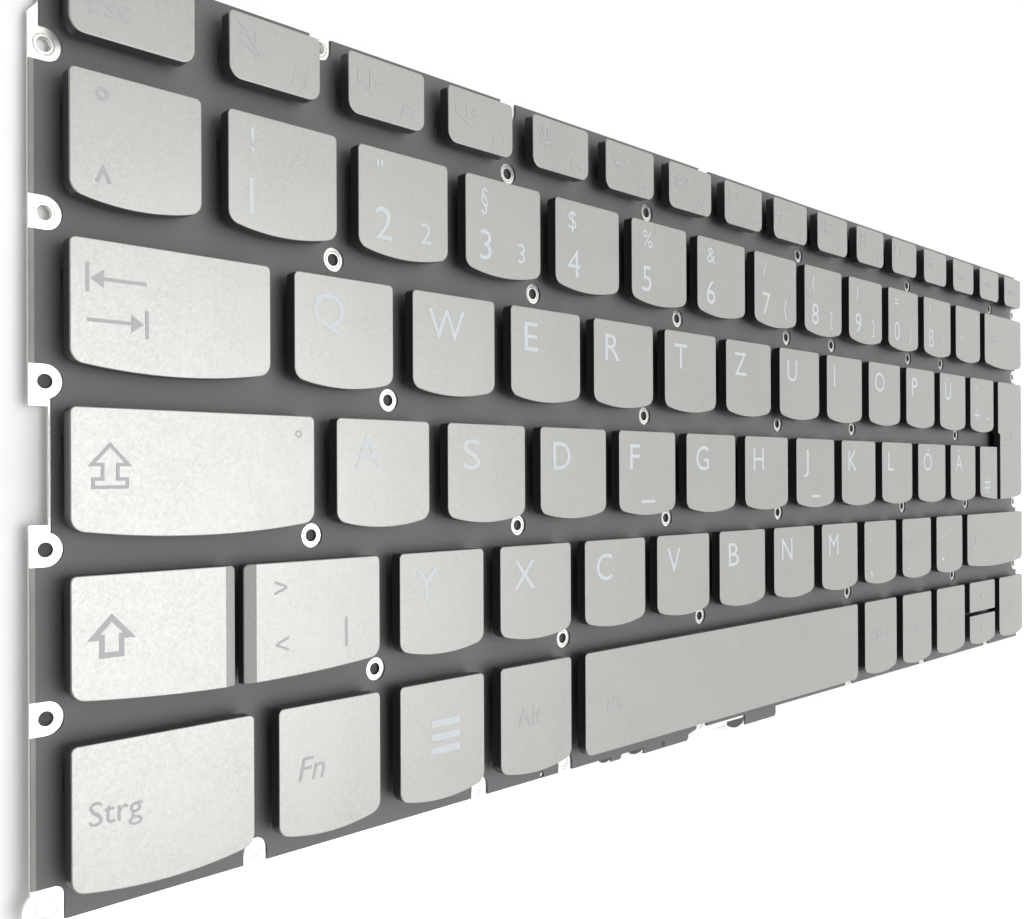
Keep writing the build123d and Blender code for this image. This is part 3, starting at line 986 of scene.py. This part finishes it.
bm = bmesh.new()
for number, box in enumerate(functionBoxes[:12], 1):
    functionLegend(bm, box, number)
word(bm, functionBoxes[12], "Einfg", 1.6, 3.0, 1.9)
word(bm, functionBoxes[13], "Druck", 1.4, 3.0, 1.8)
addPiece("legends_function", bm, "base", [shadedLegend], smoothAngle=30)

bm = bmesh.new()
addRing(bm, numberBoxes[0], 3.65, 2.35, 0.75, 0.35)
line(bm, numberBoxes[0], [(2.95, 12.1), (3.7, 10.5), (4.45, 12.1)], 0.42)
addPiece("legend_caret", bm, "base", [shadedLegend], smoothAngle=30)

numberSigns = [("!", "1"), ('"', "2", "2"), ("§", "3", "3"), ("$", "4"), ("%", "5"), ("&", "6"),
               ("/", "7", "{"), ("(", "8", "["), (")", "9", "]"), ("=", "0", "}"), ("?", "ß", "\\"),
               ("`", "´")]
bm = bmesh.new()
for signs, box in zip(numberSigns, numberBoxes[1:]):
    pairLegend(bm, box, *signs)
addPiece("legends_number", bm, "base", [legendMilk], smoothAngle=30)
print("legends made")


# Floor, light and camera
white = (1, 1, 1, 1)
floorForm = {"sizeM": 3.0, "dropMm": 1.3, "lean": 0.013, "colour": "#fdfdfc", "glow": 0.07}


def tableTop():  # white melamine table: camera rays get part of its white as glow, and the shadow stays
    material, tree = newMaterial("whiteMelamine")
    path = addNode(tree, "ShaderNodeLightPath")
    seen = path.outputs["Is Camera Ray"]
    for ray in ("Is Glossy Ray", "Is Transmission Ray"):
        pair = {0: seen, 1: path.outputs[ray]}
        seen = addNode(tree, "ShaderNodeMath", pair, operation="MAXIMUM").outputs[0]
    power = addNode(tree, "ShaderNodeMath", {0: seen, 1: floorForm["glow"]}, operation="MULTIPLY")
    base = addNode(tree, "ShaderNodeBsdfDiffuse", {"Color": srgb(floorForm["colour"])})
    glow = addNode(tree, "ShaderNodeEmission", {"Color": white, "Strength": power.outputs[0]})
    both = addNode(tree, "ShaderNodeAddShader", {0: base.outputs[0], 1: glow.outputs[0]})
    addNode(tree, "ShaderNodeOutputMaterial", {"Surface": both.outputs[0]})
    return material


half = floorForm["sizeM"] / 2
floorMesh = bpy.data.meshes.new("floor")
floorZ = -floorForm["dropMm"] * mm
lean = floorForm["lean"] * half  # the plate's front stands a little higher over the table than its rear
front, rear = floorZ - lean, floorZ + lean
floorCorners = [(-half, -half, front), (half, -half, front), (half, half, rear), (-half, half, rear)]
floorMesh.from_pydata(floorCorners, [], [(0, 1, 2, 3)])
floorMesh.materials.append(tableTop())
floor = bpy.data.objects.new("floor", floorMesh)
bpy.context.scene.collection.objects.link(floor)

skyForm = {"side": (0.95, -0.25, 0.05), "sideSpan": (-0.5, 0.35), "sideLevel": (0.18, 1.2),
           "lamp": (0.3, -0.07, 0.95), "lampSpan": (0.9, 0.98), "lampLevel": (0.0, 2.75)}


def studioDome():  # soft dome, dim on the left, with a wide lamp high on the right
    world = bpy.data.worlds.new("studioDome")
    world.use_nodes = True
    tree = world.node_tree
    tree.nodes.clear()
    place = addNode(tree, "ShaderNodeTexCoord").outputs["Generated"]
    levels = []
    for part in ("side", "lamp"):
        (start, end), (low, high) = skyForm[part + "Span"], skyForm[part + "Level"]
        facing = addNode(tree, "ShaderNodeVectorMath", {0: place, 1: Vector(skyForm[part]).normalized()},
                         operation="DOT_PRODUCT")
        limits = {"From Min": start, "From Max": end, "To Min": low, "To Max": high}
        levels.append(addNode(tree, "ShaderNodeMapRange", {"Value": facing.outputs["Value"], **limits},
                              interpolation_type="SMOOTHSTEP").outputs["Result"])
    both = addNode(tree, "ShaderNodeMath", {0: levels[0], 1: levels[1]}, operation="ADD")
    seen = addNode(tree, "ShaderNodeLightPath").outputs["Is Camera Ray"]  # the backdrop is plain white
    level = addNode(tree, "ShaderNodeMix", {"Factor": seen, "A": both.outputs[0], "B": 1.0})
    light = addNode(tree, "ShaderNodeBackground", {"Color": white, "Strength": level.outputs["Result"]})
    addNode(tree, "ShaderNodeOutputWorld", {"Surface": light.outputs[0]})
    bpy.context.scene.world = world


studioDome()

camera = {"place": (-0.17878, -0.00522, 0.11609), "right": (0.72017, -0.00455, 0.69378),
          "up": (0.00135, 0.99999, 0.00516), "lensMm": 35.944, "sensorMm": 36.0, "shiftUp": 0.01488,
          "clipM": (0.005, 10)}
view = bpy.data.cameras.new("camera")
view.lens, view.sensor_width, view.sensor_fit = camera["lensMm"], camera["sensorMm"], "HORIZONTAL"
view.shift_y = camera["shiftUp"]
view.clip_start, view.clip_end = camera["clipM"]
holder = bpy.data.objects.new("camera", view)
bpy.context.scene.collection.objects.link(holder)
right = Vector(camera["right"]).normalized()
back = right.cross(Vector(camera["up"])).normalized()
turn = Matrix((right, back.cross(right), back)).transposed()
holder.matrix_world = Matrix.Translation(camera["place"]) @ turn.to_4x4()
bpy.context.scene.camera = holder
bpy.context.scene.view_settings.view_transform = "Standard"
print("stage, light and camera set")
